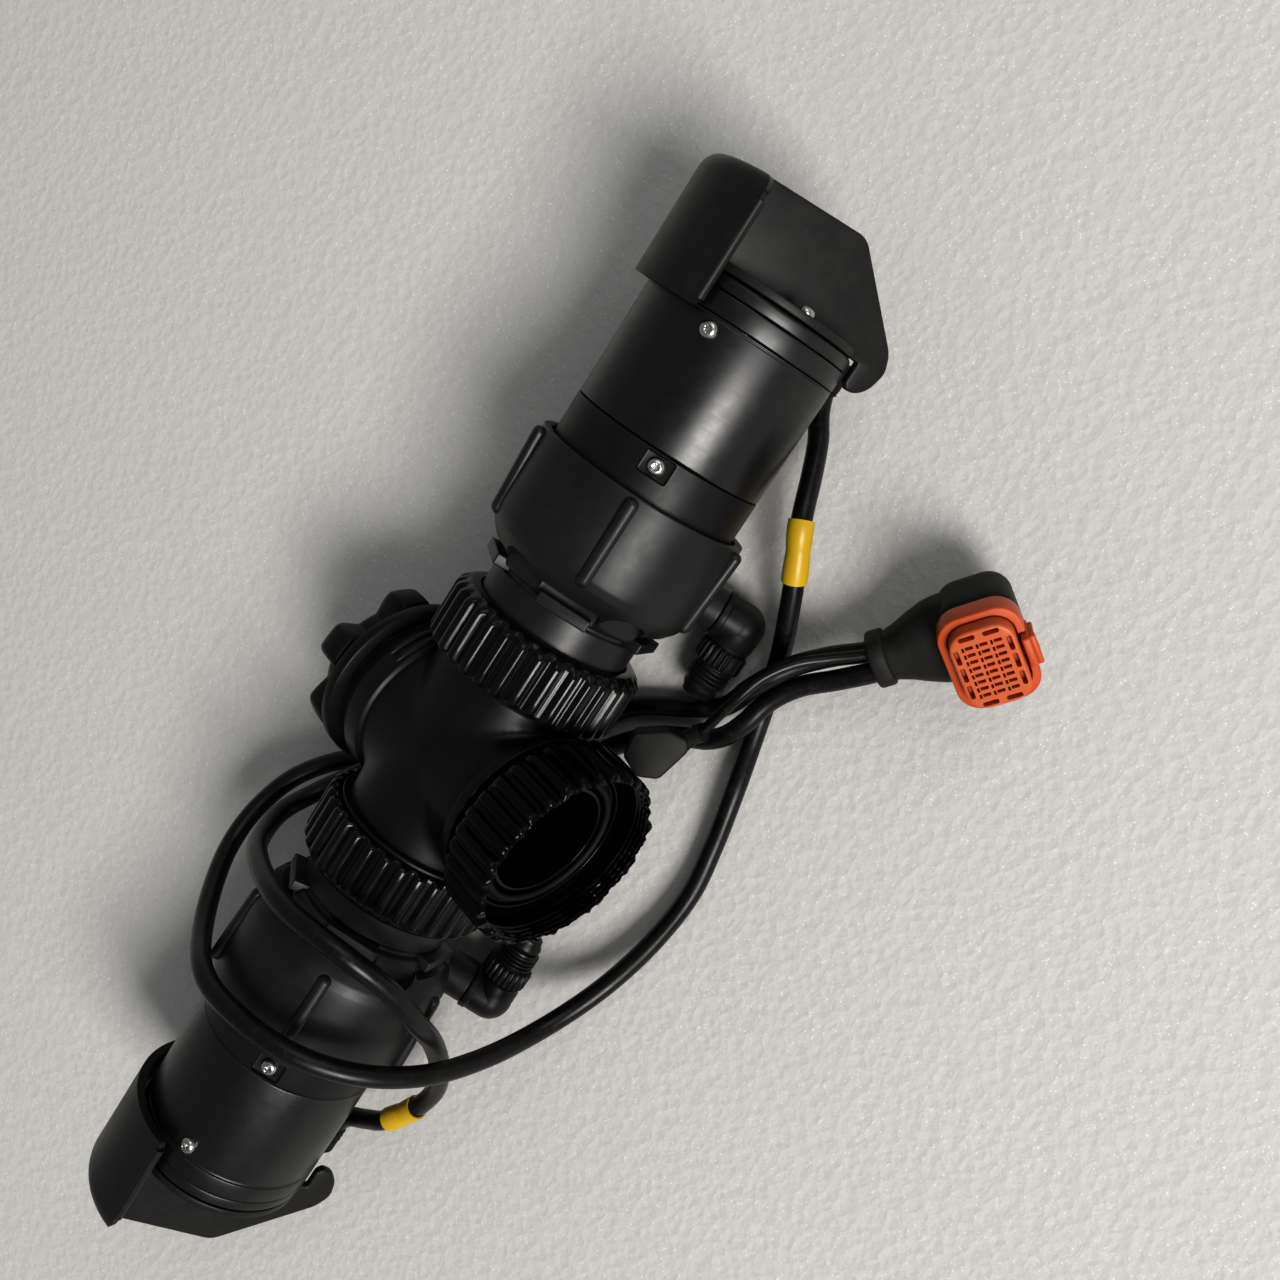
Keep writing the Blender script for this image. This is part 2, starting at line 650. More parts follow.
# ---------------------------------------------------------------- pump housing
FIFTHS = (0, 72, 144, -144, -72)  # degrees: windows, ribs and tabs
POCKET_ANGLES = (37, -37, 108, -108, 180)
BELL_RADIUS = 36.6
HOUSING_PROFILE = [  # x, r: neck, taper, bell, then back along the bore
    (39.0, 14.5), (39.0, 30.0), (44.6, 30.0), (44.6, 26.6), (61.4, 26.6), (62.0, 26.0),
    (63.2, 26.0), (63.8, 28.0), (66.4, 29.6), (69.2, 31.9), (71.6, 33.9), (74.4, 35.5),
    (77.4, 36.35), (80.6, BELL_RADIUS), (105.7, BELL_RADIUS), (105.7, 33.8), (87.0, 33.6),
    (87.0, 29.0), (68.0, 27.0), (66.0, 20.0), (66.0, 14.5)]
POCKET_OUTLINE = [(-5.0, -7.5), (4.4, -7.5), (6.6, -4.0), (6.6, 4.0), (4.4, 7.5), (-5.0, 7.5)]


def pump_housing(side):
    window = box(size=(6.2, 21.0, 8.0), centre=(65.6, 0, 30.6), radius=1.0)
    pocket = prism(fillet_polygon(POCKET_OUTLINE, 2.0), low=-3.2, high=6.0)
    pocket = move(pocket, (65.0, 0, 31.8))
    side_piece(side, "housing_shell", lathe(fillet_ring(HOUSING_PROFILE, 0.55), 168),
               "housing_plastic", "pump_housing",
               tools=[join(*(turn(window, angle) for angle in FIFTHS)),
                      join(*(turn(pocket, angle) for angle in POCKET_ANGLES))],
               bevel=dict(width=0.25, segments=2, angle=40))


def housing_ribs(side):
    """Rounded ribs on the bell and tabs in the windows."""
    outline = rounded_rect(width=30.5, height=4.4, radius=2.15, steps=8)
    rib = prism(outline, low=-2.0, high=2.7, inset=1.9, steps=5)
    rib[0][:, 2] -= 1.6 * ease(-6, -16, rib[0][:, 0])  # sinks at the low-x end
    rib = move(rib, (89.6, 0, BELL_RADIUS))
    tab = box(size=(3.8, 17.6, 6.0), centre=(63.9, 0, 27.3), radius=0.5)
    parts = [turn(part, angle) for angle in FIFTHS for part in (rib, tab)]
    side_piece(side, "housing_ribs", join(*parts), "housing_plastic", sharp=50)


# ---------------------------------------------------------------- outlet and swivel elbow
OUTLET_X, OUTLET_Z = 81.0, -22.0  # the outlet points along -Y
ELBOW_Y = -52.5
ELBOW_RADIUS = 8.3
BOSS_PROFILE = [(20, 0), (20, 7.6), (36, 7.8), (43.4, 7.8), (44.6, 7.2), (44.6, 4.6), (22, 4.6)]
BARREL_PROFILE = [(44.0, 8.7), (46.2, 8.7), (46.6, ELBOW_RADIUS), (52.5, ELBOW_RADIUS),
                  (52.5, 4.0), (44.4, 4.0)]
LEG_ROOT = [(OUTLET_X, 0.0), (OUTLET_X, 8.1), (74.6, 8.0), (73.8, 7.5), (73.0, 7.5),
            (72.6, 7.0), (65.2, 6.9)]
LEG_THREAD_START, LEG_THREAD_PITCH = 64.6, 1.55
LEG_TIP = [(58.2, 6.3), (58.0, 5.5), (56.6, 6.3), (56.2, 6.3), (54.4, 5.3), (53.2, 5.1),
           (53.0, 4.8), (53.0, 3.4), (70.0, 3.2), (70.0, 0.0)]
KNURL_PROFILE = [  # x, r, knurl height
    (72.4, 6.6), (72.4, 7.4, 0.25), (71.8, 7.8, 0.65), (66.0, 7.8, 0.65), (65.4, 7.4, 0.25),
    (65.4, 6.4)]


def outlet_boss(side):
    boss = lathe(fillet(BOSS_PROFILE, 0.5), 72)
    side_piece(side, "outlet_boss", aim(boss, (0, -1, 0), (OUTLET_X, 0, OUTLET_Z)),
               "housing_plastic")


def outlet_elbow(side):
    """Barrel along -Y, ball at the bend and a threaded leg towards the manifold."""
    barrel = lathe(fillet_ring(BARREL_PROFILE, 0.35), 80)
    barrel = aim(barrel, (0, -1, 0), (OUTLET_X, 0, OUTLET_Z))
    ball = lathe([(ELBOW_RADIUS * math.sin(t), ELBOW_RADIUS * math.cos(t))
                  for t in np.linspace(-math.pi / 2, math.pi / 2, 26)], 64)
    leg = list(LEG_ROOT)
    for i in range(4):
        x = LEG_THREAD_START - i * LEG_THREAD_PITCH
        leg += [(x, 6.95), (x - 0.35, 7.25), (x - 0.75, 7.25), (x - 1.1, 6.45)]
    leg += LEG_TIP
    bend = (0, ELBOW_Y, OUTLET_Z)
    knurl = lathe(KNURL_PROFILE, 192, rib_wave(count=24, crown=0.25, foot=0.75))
    shape = join(barrel, move(ball, (OUTLET_X, ELBOW_Y, OUTLET_Z)),
                 move(lathe(leg, 80), bend), move(knurl, bend))
    side_piece(side, "elbow_shell", shape, "elbow_plastic", "outlet_elbow",
               body=f"elbow_{side}_body", sharp=38)


# ---------------------------------------------------------------- motor
CAN_RADIUS = 32.5
COLLAR_PROFILE = [(90.0, 27.0), (90.0, 32.6), (119.4, 32.6), (119.4, 8.2), (112.4, 8.2),
                  (112.4, 20.0), (109.0, 27.0)]
CAN_PROFILE = [
    (119.7, 30.4), (119.7, 32.1), (120.2, CAN_RADIUS), (158.9, CAN_RADIUS), (159.1, 32.34),
    (159.4, 32.34), (159.6, CAN_RADIUS), (160.0, CAN_RADIUS), (160.0, 30.4)]
BRACKET_PROFILE = [
    (160.3, 20.0), (160.3, 32.2), (160.6, CAN_RADIUS), (166.4, CAN_RADIUS), (166.7, 32.2),
    (166.7, 8.2), (161.2, 8.2), (161.2, 20.0)]
COVER_PROFILE = [(167.0, 4.4), (167.0, 32.0), (167.3, 32.3), (170.4, 32.3), (171.2, 31.5),
                 (171.2, 0.0)]
HEAD_RADIUS, HEAD_HEIGHT = 2.75, 1.9


def pan_head():
    """Pan head screw along +X from its seat at x = 0, with a six-lobe recess."""
    # Shares of the height and of the radius, then the recess lobes in millimetres.
    crown = [(0.35, 0.985), (0.62, 0.9), (0.84, 0.74), (0.96, 0.56), (0.975, 0.47),
             (0.93, 0.36, 0.26), (0.30, 0.34, 0.24), (0.22, 0.0)]
    profile = [(-0.6, 0), (-0.6, HEAD_RADIUS * 0.96), (0.0, HEAD_RADIUS)]
    profile += [(HEAD_HEIGHT * up, HEAD_RADIUS * out, *lobe) for up, out, *lobe in crown]
    return lathe(profile, 72, lambda theta: 0.5 + 0.5 * np.cos(6 * theta))


def screw(side, name, axis, place):
    side_piece(side, f"{name}_head", aim(pan_head(), axis, place), "screw_steel", name, sharp=30)


def motor_collar(side):
    """Collar with a rectangular recess at its top."""
    side_piece(side, "collar_shell", lathe(fillet_ring(COLLAR_PROFILE, 0.35), 168),
               "collar_plastic", "motor_collar",
               tools=[box(size=(7.4, 10.2, 8.0), centre=(115.3, 0, 35.2), radius=0.9)],
               bevel=dict(width=0.18, segments=2, angle=45))
    screw(side, "collar_screw", (0, 0, 1), (115.2, 0, 31.6))


def motor_can(side):
    """Can tube, end bracket and end cover."""
    for name, profile, replaced in (
            ("can_tube", fillet_ring(CAN_PROFILE, 0.15, 2), "motor_can"),
            ("end_bracket_ring", fillet_ring(BRACKET_PROFILE, 0.15, 2), "end_bracket"),
            ("end_cover_disc", fillet(COVER_PROFILE, 0.2, 2), "end_cover")):
        side_piece(side, name, lathe(profile, 192), "anodised_can", replaced)


def end_screws(side):
    screw(side, "end_screw", around(-15), polar(155.6, -15, CAN_RADIUS))
    # This head already faces along +X.
    head = move(pan_head(), polar(174.4, 27, 26.5))
    side_piece(side, "guard_screw_head", head, "screw_steel", "guard_screw", sharp=30)


# ---------------------------------------------------------------- rear guard
GUARD_START, GUARD_END = -25.0, -182.0  # degrees
GUARD_RADIUS, GUARD_THICKNESS = 37.6, 2.9
GUARD_LOW_X, GUARD_HIGH_X = 158.8, 199.5
GUARD_ROWS, GUARD_FLAT_POINTS, GUARD_ROLL_POINTS = 120, 20, 10
GUARD_ROLL = 6.0  # length of the rolled-in rim
START_CORNER_LOW, START_CORNER_HIGH, END_CORNER = 2.2, 5.0, 4  # corner radii
PLATE_ANGLE, PLATE_LEVEL, PLATE_THICKNESS = 28, 14.4, 3.2
PLATE_OUTLINE = [  # across, x
    (-33.2, 171.8), (-33.2, 193.5), (-27.5, 199.6), (10.3, 202.6), (39.6, 179.6),
    (42.3, 174.0), (40.6, 167.2), (37.0, 163.8), (33.2, 163.2), (31.6, 165.2), (31.6, 171.8)]
PLATE_CORNERS = [0.5, 3.0, 3.0, 3.0, 2.5, 2.2, 2.4, 2.0, 1.2, 0.8, 0.6]


def corner_setback(distance, radius):
    """How far a rounded corner draws the rim back at a distance from the side edge."""
    if distance >= radius:
        return 0
    return radius - math.sqrt(max(radius ** 2 - (radius - distance) ** 2, 0))


def guard_wall(side):
    """Curved wall whose high-x rim rolls in."""
    columns = GUARD_FLAT_POINTS + GUARD_ROLL_POINTS
    outer, inner = [], []
    for angle in np.linspace(GUARD_START, GUARD_END, GUARD_ROWS):
        from_start = math.radians(GUARD_START - angle) * GUARD_RADIUS
        to_end = math.radians(angle - GUARD_END) * GUARD_RADIUS
        low_setback = corner_setback(from_start, START_CORNER_LOW)
        high_setback = corner_setback(from_start, START_CORNER_HIGH)
        if to_end < END_CORNER:
            low_setback = high_setback = corner_setback(to_end, END_CORNER)
        roll_x = GUARD_HIGH_X - GUARD_ROLL
        flat = np.linspace(GUARD_LOW_X + low_setback, roll_x - 0.5, GUARD_FLAT_POINTS)
        rolled = roll_x + GUARD_ROLL * np.sin(np.linspace(0.05, math.pi / 2, GUARD_ROLL_POINTS))
        rolled = rolled - np.linspace(0.1, 1, GUARD_ROLL_POINTS) * high_setback
        x = np.concatenate([flat, rolled])
        along = np.clip((x - roll_x) / GUARD_ROLL, 0, 1)
        radii = GUARD_RADIUS - 4.6 * (1 - np.sqrt(np.maximum(1 - along ** 2, 0.02)))
        _, y, z = around(angle)
        outer.append(np.stack([x, y * radii, z * radii], 1))
        radii = radii - GUARD_THICKNESS
        inner.append(np.stack([x, y * radii, z * radii], 1))
    shift = GUARD_ROWS * columns  # from an outer vertex to its inner one

    def rim(start, end):
        return (start, end, shift + end, shift + start)

    faces = []
    for i in range(GUARD_ROWS - 1):
        row = i * columns
        for j in range(row, row + columns - 1):
            quad = (j, j + 1, j + columns + 1, j + columns)
            faces += [quad, tuple(shift + k for k in reversed(quad))]
        last = row + columns - 1
        faces += [rim(row, row + columns), rim(last + columns, last)]
    last_row = (GUARD_ROWS - 1) * columns
    faces += [rim(j + 1, j) for j in range(columns - 1)]
    faces += [rim(last_row + j, last_row + j + 1) for j in range(columns - 1)]
    side_piece(side, "guard_wall", (np.concatenate(outer + inner), faces), "guard_plastic",
               "rear_guard", sharp=40, bevel=dict(width=0.7, segments=3, angle=32))


def guard_plate(side):
    """Flat plate, the disc under it and a round bead on the wall's starting edge."""
    outline = counter_clockwise(fillet_polygon(PLATE_OUTLINE, PLATE_CORNERS))
    points, faces = prism(outline, low=0, high=PLATE_THICKNESS, inset=0.8, steps=3)
    slope = math.radians(PLATE_ANGLE)
    across = np.array([0, -math.cos(slope), -math.sin(slope)])
    normal = around(PLATE_ANGLE)
    points = (np.outer(points[:, 0], across) + np.outer(points[:, 1], [1.0, 0, 0])
              + np.outer(points[:, 2], normal) + normal * (PLATE_LEVEL - PLATE_THICKNESS))
    disc = lathe(fillet([(171.7, 0), (171.7, 32.0), (174.2, 32.0), (174.2, 0)], 0.4), 160)
    bead = sweep([polar(x, -25.5, 36.3) for x in np.linspace(161.2, 192.0, 24)],
                 radius=1.75, segments=18)
    side_piece(side, "guard_plate", join((points, faces), disc, bead), "guard_plastic", sharp=45)


# ---------------------------------------------------------------- cable boot and union nut
BOOT_PROFILE = [(158.0, 0), (158.0, 3.9), (160.0, 4.6), (162.0, 5.0), (170.0, 5.0),
                (171.0, 4.2), (171.0, 0)]
BOOT_RING_PLACES = (160.6, 162.6, 164.6)
UNION_NUT_RIBS, UNION_RIB_DEPTH = 33, 1.9
PORT_NUT_RIBS, PORT_RIB_DEPTH = 32, 2.2
POINTS_PER_RIB = 12


def cable_boot(side):
    gland = (0, GLAND_Y, GLAND_Z)
    rings = [lathe([(x - 0.6, 4.4), (x, 5.25), (x + 0.6, 4.4)], 48) for x in BOOT_RING_PLACES]
    lug = box(size=(7.0, 7.4, 7.6), centre=(164.0, -28.2, -22.4), radius=1.2)
    body = lathe(fillet(BOOT_PROFILE, 0.5), 48)
    shape = join(move(body, gland), lug, *(move(ring, gland) for ring in rings))
    side_piece(side, "cable_boot", shape, "seal_rubber", "cable_gland")


def union_nut(side):
    root, depth = NUT_RADIUS - UNION_RIB_DEPTH, UNION_RIB_DEPTH
    profile = [  # x, r, rib height
        (30.7, 31.0), (30.7, root - 0.5, 0.0), (31.0, root - 0.2, depth * 0.45),
        (31.6, root, depth * 0.85), (32.4, root, depth), (36, root, depth), (42, root, depth),
        (48.2, root, depth), (49.2, root - 0.1, depth * 0.92), (50.2, root - 0.3, depth * 0.6),
        (51.2, root - 0.9, depth * 0.25), (52.0, root - 1.6, 0.0), (52.4, root - 2.6, 0.0),
        (52.4, 27.4), (45.4, 27.3), (45.4, 31.0), (30.7, 31.0)]
    wave = rib_wave(UNION_NUT_RIBS, crown=0.36, foot=0.74, phase=0.2)
    side_piece(side, "union_nut_ribbed", lathe(profile, UNION_NUT_RIBS * POINTS_PER_RIB, wave),
               "nut_gloss", "union_nut", body=f"nut_{side}_body", sharp=48)


for unit_side in "ab":
    for build_part in (pump_housing, housing_ribs, outlet_boss, outlet_elbow, motor_collar,
                       motor_can, end_screws, guard_wall, guard_plate, cable_boot, union_nut):
        build_part(unit_side)


# ---------------------------------------------------------------- cross manifold
PUMP_RIM = [(29.6, 24.6), (29.6, 30.2), (37.0, 30.2), (37.0, 21.6), (30.4, 21.6)]
PORT_RIM = [(26.6, 24.0), (26.6, 27.2), (27.4, 28.2), (28.4, 29.5), (32.0, 29.6),
            (32.0, 24.4), (27.0, 24.2)]
CAP_RIM = [(23.0, 23.4), (23.0, 28.0), (24.0, 29.3), (31.4, 29.3), (31.8, 27.6),
           (36.5, 27.4), (36.5, 23.0)]
CLIP_BAR_PLACES = (26.2, 30.2)  # along the cap axis
CLIP_BAR_MIDDLES = (-38.0, 142.0)  # degrees about the cap axis
CLIP_BAR_HALF_SPAN = 23  # degrees
CLIP_BAR_POINTS = 22
CLIP_BAR_REACH, CLIP_BAR_RADIUS = 29.4, 1.05


def cylinder(start, end, radius, segments):
    return lathe([(start, 0), (start, radius), (end, radius), (end, 0)], segments)


def manifold_body():
    """Union of the through tube and two necks, bored out, then remeshed to soften the joints."""
    core = build("manifold_core", cylinder(-33, 33, 27.5, 96))
    cut(core, [build("tool", aim(cylinder(-4.1, 29, 27.0, 90), PORT_AXIS)),
               build("tool", aim(cylinder(-5.3, 26, 27.7, 84), -PORT_AXIS))], "UNION")
    cut(core, [build("tool", cylinder(-40, 40, 21.5, 64)),
               build("tool", aim(cylinder(-2.3, 40, 21.2, 60), PORT_AXIS)),
               build("tool", aim(cylinder(-3.7, 40, 22.4, 56), -PORT_AXIS))])
    remesh = core.modifiers.new("skin", "REMESH")
    remesh.mode = "VOXEL"
    remesh.voxel_size = 0.0010
    soften = core.modifiers.new("fillet", "SMOOTH")
    soften.factor = 0.5
    soften.iterations = 26
    bake(core, sharp=60)
    finish(core, "manifold_plastic", replaces="manifold_body")


def manifold_rims():
    pump_rim = lathe(fillet_ring(PUMP_RIM, 0.5), 144)
    port_rim = aim(lathe(fillet_ring(PORT_RIM, 0.4), 144), PORT_AXIS)
    cap_rim = aim(lathe(fillet_ring(CAP_RIM, 0.4), 144), -PORT_AXIS)
    piece("manifold_rims", join(pump_rim, mirror(pump_rim), port_rim, cap_rim),
          "manifold_plastic", sharp=40)


def neck_clip_bars():
    """Curved bars on the cap neck, thinned at their ends."""
    sideways = np.cross(PORT_AXIS, [1.0, 0, 0])
    radii = CLIP_BAR_RADIUS * np.sqrt(
        np.clip(1 - np.linspace(-1, 1, CLIP_BAR_POINTS) ** 6, 0.02, 1))
    bars = []
    for place in CLIP_BAR_PLACES:
        for middle in CLIP_BAR_MIDDLES:
            path = []
            for angle in np.linspace(middle - CLIP_BAR_HALF_SPAN, middle + CLIP_BAR_HALF_SPAN,
                                     CLIP_BAR_POINTS):
                angle = math.radians(angle)
                outward = math.cos(angle) * np.array([-1.0, 0, 0]) + math.sin(angle) * sideways
                path.append(-PORT_AXIS * place + outward * CLIP_BAR_REACH)
            bars.append(sweep(path, radii, segments=14))
    piece("neck_clip_bars", join(*bars), "manifold_plastic", sharp=50)


manifold_body()
manifold_rims()
neck_clip_bars()

# ---------------------------------------------------------------- port: spigot, seal and nut
SPIGOT_PROFILE = [
    (26.4, 19.0), (26.4, 23.7), (32.4, 23.7), (32.4, 26.2), (41.2, 26.2), (41.2, 29.6),
    (45.0, 29.6), (45.0, 26.0), (43.2, 25.4), (43.0, 21.2), (44.6, 20.4), (44.6, 19.0)]
SEAL_X, SEAL_RADIUS, SEAL_SECTION = 44.6, 22.8, 1.1
THREAD_START, THREAD_PITCH, THREAD_ROOT, THREAD_CREST = 55.2, 1.7, 31.1, 30.3
# Uneven rim of the port nut: amplitude, waves per turn, phase.
RIM_AXIAL_WAVES = [(0.45, 13, 1.0), (0.4, 27, 2.3), (0.3, 45, 0.4), (0.25, 71, 1.7)]
RIM_RADIAL_WAVES = [(0.5, 11, 0.3), (0.35, 23, 1.1), (0.35, 57, 2.0)]


def port_spigot():
    piece("port_spigot_ring", aim(lathe(fillet_ring(SPIGOT_PROFILE, 0.45), 144), PORT_AXIS),
          "port_gloss", slot="nut_gloss", replaces="port_spigot", sharp=40)
    section = [(SEAL_X + SEAL_SECTION * math.sin(t), SEAL_RADIUS + SEAL_SECTION * math.cos(t))
               for t in np.linspace(0, 2 * math.pi, 17)]
    piece("port_seal_ring", aim(lathe(section, 128), PORT_AXIS), "seal_rubber",
          replaces="port_seal", sharp=60)


def port_wave(theta):
    """Ribs whose height drifts round the nut."""
    ribs = rib_wave(PORT_NUT_RIBS, crown=0.40, foot=0.78, phase=0.3)(theta)
    return ribs * (0.80 + 0.20 * np.sin(theta * 5.0 + 0.6) * np.sin(theta * 2.0 + 1.1))


def sine_sum(theta, waves):
    return sum(amplitude * np.sin(count * theta + phase) for amplitude, count, phase in waves)


def port_nut():
    root, depth = NUT_RADIUS - 2.1, PORT_RIB_DEPTH
    profile = [  # x, r, rib height
        (34.9, 27.2), (34.9, root - 1.6, 0.0), (35.6, root - 0.6, depth * 0.3),
        (36.8, root, depth * 0.85), (38.4, root, depth), (44, root, depth), (50, root, depth),
        (53.6, root, depth), (54.8, root, depth * 0.9), (55.6, root - 0.3, depth * 0.7),
        (56.0, root - 0.9, depth * 0.4), (56.0, 31.4), (55.6, THREAD_ROOT)]
    for i in range(4):
        x = THREAD_START - i * THREAD_PITCH
        profile += [(x, THREAD_ROOT), (x - 0.55, THREAD_CREST), (x - 0.85, THREAD_CREST),
                    (x - 1.35, THREAD_ROOT)]
    profile += [(48.2, THREAD_ROOT), (45.4, 30.9), (40.8, 30.9), (40.8, 27.2), (34.9, 27.2)]
    points, faces = lathe(profile, PORT_NUT_RIBS * POINTS_PER_RIB, port_wave)
    # Draws the outer surface back unevenly near the free rim.
    theta = np.arctan2(-points[:, 1], points[:, 2])
    radii = np.hypot(points[:, 1], points[:, 2])
    pull = 0.55 * ease(48.5, 55.0, points[:, 0]) * ease(30.6, 31.6, radii)
    points[:, 0] += pull * (sine_sum(theta, RIM_AXIAL_WAVES) - 0.7)
    shrink = pull * (0.9 - sine_sum(theta, RIM_RADIAL_WAVES)) / np.maximum(radii, 1)
    points[:, 1:] *= (1 - shrink)[:, None]
    piece("port_nut_ribbed", aim((points, faces), PORT_AXIS), "port_gloss", slot="nut_gloss",
          body="port_nut_body", replaces="port_nut", sharp=48)


port_spigot()
port_nut()

# ---------------------------------------------------------------- lobed screw cap
CAP_LOBES = 6
CAP_PROFILE = [  # x, r, lobe height
    (24.0, 0.0), (24.0, 21.6), (38.6, 21.6), (38.6, 30.8), (39.2, 31.4), (42.6, 31.4),
    (43.2, 30.8), (43.6, 29.0), (44.2, 27.0), (44.6, 22.6, 0.0), (44.8, 22.0, 4.0),
    (45.4, 22.4, 6.6), (46.4, 22.7, 7.5), (50.0, 22.7, 7.6), (54.0, 22.5, 7.5),
    (55.8, 22.1, 7.1), (56.7, 21.2, 6.2), (57.0, 19.6, 4.6), (57.0, 17.2, 1.0),
    (56.6, 16.4, 0.0), (51.4, 15.2), (50.6, 14.2), (50.6, 0.0)]


def lobe_wave(theta):
    turns = (theta * CAP_LOBES / (2 * math.pi)) % 1.0
    return 1 - ease(0.26, 0.74, np.abs(turns - 0.5) * 2)


piece("cap_knob", aim(lathe(CAP_PROFILE, 288, lobe_wave), -PORT_AXIS), "knob_plastic",
      slot="manifold_plastic", body="cap_body", replaces="screw_cap", sharp=50)

# ---------------------------------------------------------------- harness
CABLE_RADIUS, LEAD_RADIUS = 3.5, 1.8
# Stations (x, y, z) from each motor, or from the boot, to the connector.
CABLE_A_STATIONS = [
    (161.6, GLAND_Y, GLAND_Z), (153.5, -34.8, -24.4), (145.9, -39.3, -21.0),
    (135.5, -43.4, -14.6), (122.5, -47.9, -7.5), (111.5, -53.7, -8.2), (99.1, -60.0, -11.0),
    (81.4, -68.1, -16.8), (67.5, -72.9, -20.4), (49.9, -77.7, -19.2), (34.1, -81.4, -14.6),
    (12.1, -86.6, -14.4), (-5.4, -89.2, -13.5), (-28.5, -87.7, -12.9), (-51.5, -82.0, -10.6),
    (-71.5, -71.2, -1.6), (-82.3, -57.3, 16.9), (-88.7, -41.9, 33.5), (-92.8, -23.6, 44.8),
    (-95.8, -4.4, 48.2), (-98.5, 14.5, 43.0), (-101.3, 33.0, 29.0), (-101.5, 46.0, 0),
    (-89.1, 55.3, -29.9), (-74.7, 54.9, -40.3), (-58.8, 48.7, -47.6), (-44.0, 34.0, -53.0),
    (-37.5, 18, -50.0), (-32, 2, -45.6), (-21, -16, -39.6), (0, -31, -34.8),
    (20, -41, -31.5), (32, -50.8, -28.0), (38.2, -58.8, -23.6), (43.0, -64.4, -18.0),
    (49.0, -68.2, -13.4), (56.6, -70.6, -11.2), (66.8, -72.8, -10.4), (76.6, -77.7, -8.4),
    (86.2, -86.0, -4.4), (95.06, -93.24, -0.63), (97.61, -95.07, -0.01)]
CABLE_B_STATIONS = [
    (-161.6, GLAND_Y, GLAND_Z), (-154.0, -34.6, -23.6), (-147.5, -39.6, -18.4),
    (-138.8, -45.2, -11.2), (-125.1, -51.2, -6.3), (-111.5, -52.7, 0.5), (-98.9, -49.6, 9.0),
    (-83.0, -41.0, 22.7), (-71.4, -31.2, 36.9), (-62.5, -18.3, 44.7), (-58.0, -3.0, 49.1),
    (-58.2, 12.1, 46.0), (-61.0, 26.1, 35.5), (-66.9, 41.3, 7.5), (-69.8, 45.5, -11.8),
    (-66.5, 45.6, -29.6), (-58.8, 40.0, -39.6), (-46.0, 31.4, -43.8), (-34.0, 23.0, -44.4),
    (-25, 8, -44.6), (-12, -8, -42.0), (6, -19, -38.7), (22, -30, -35.0),
    (35, -38.5, -32.2), (42.3, -47.5, -29.0), (47.3, -55.4, -26.2), (53.8, -62.4, -22.4),
    (60.0, -64.2, -15.2), (66.8, -65.0, -9.4), (74.6, -68.0, -7.0), (82.6, -72.8, -6.8),
    (91.4, -80.8, -7.0), (99.18, -88.98, -4.98), (101.73, -90.81, -4.36)]
LEAD_STATIONS = [
    (41.5, -58.2, -13.2), (43.3, -58.9, -12.7), (49.0, -60.2, -7.0), (55.2, -60.4, -1.6),
    (64.0, -61.8, 1.6), (74.4, -64.6, 2.0), (84.0, -70.8, 1.2), (91.6, -79.4, 0.2),
    (98.69, -87.63, 0.99), (101.24, -89.46, 1.61)]
SENSOR_BOOT_OUTLINE = [(24.7, -42.7), (21.1, -50.5), (24.5, -57.2), (38.0, -60.2),
                       (41.6, -57.9), (40.5, -50.5), (33.5, -41.3)]  # x, y
SENSOR_TAIL_STATIONS = [(36.0, -56.0, -13.0), (40.5, -57.9, -13.1), (45.5, -60.2, -10.8)]
SENSOR_LIP_PATH = [(44.2, -59.5, -11.8), (45.2, -60.0, -11.0), (46.3, -60.6, -10.2)]


def sleeve(path, start, end, segments=28):
    """Loose open tube over the part of a cable between the points nearest start and end."""
    first, last = sorted(int(np.argmin(np.linalg.norm(path - np.array(point), axis=1)))
                         for point in (start, end))
    part = path[first: last + 1]
    along = np.linspace(0, 1, len(part))
    waist = 0.16 * np.exp(-((along - 0.5) / 0.08) ** 2)
    outer, outer_faces = sweep(part, 4.25 + 0.10 * np.sin(along * 9.0) - waist, segments, False)
    inner, inner_faces = sweep(part, 3.72, segments, False)
    shift = len(outer)
    faces = outer_faces + [tuple(k + shift for k in reversed(face)) for face in inner_faces]
    for ring in (0, (len(part) - 1) * segments):
        for k in range(segments):
            a, b = ring + k, ring + (k + 1) % segments
            faces.append((a, b, b + shift, a + shift))
    return np.concatenate([outer, inner]), faces


def cables():
    path_a, path_b = curve_through(CABLE_A_STATIONS), curve_through(CABLE_B_STATIONS)
    for side, path in (("a", path_a), ("b", path_b)):
        piece(f"cable_{side}", sweep(path, CABLE_RADIUS, 24), "cable_jacket",
              replaces=f"power_cable_{side}", sharp=60)
    for side, path, start, end in (
            ("a", path_a, (122.5, -47.9, -7.5), (104.5, -57.4, -8.6)),
            ("b", path_b, (-137.0, -46.4, -10.2), (-124.6, -51.3, -6.1))):
        piece(f"sleeve_{side}", sleeve(path, start, end), "sleeve_yellow",
              replaces=f"cable_sleeve_{side}", sharp=40)


def sensor_lead():
    piece("lead_thin", sweep(curve_through(LEAD_STATIONS, 16), LEAD_RADIUS, 18),
          "cable_jacket", replaces="sensor_lead", sharp=60)
    outline = counter_clockwise(fillet_polygon(SENSOR_BOOT_OUTLINE, 1.6, 4))
    body = prism(outline, low=-17.0, high=-8.6, inset=1.1, steps=3)
    tail = sweep(curve_through(SENSOR_TAIL_STATIONS, 8), np.linspace(3.8, 2.7, 17), 22)
    lip = sweep(SENSOR_LIP_PATH, radius=3.3, segments=24)
    piece("boot_shell", join(body, tail, lip), "connector_black", replaces="sensor_boot",
          sharp=45)


cables()
sensor_lead()

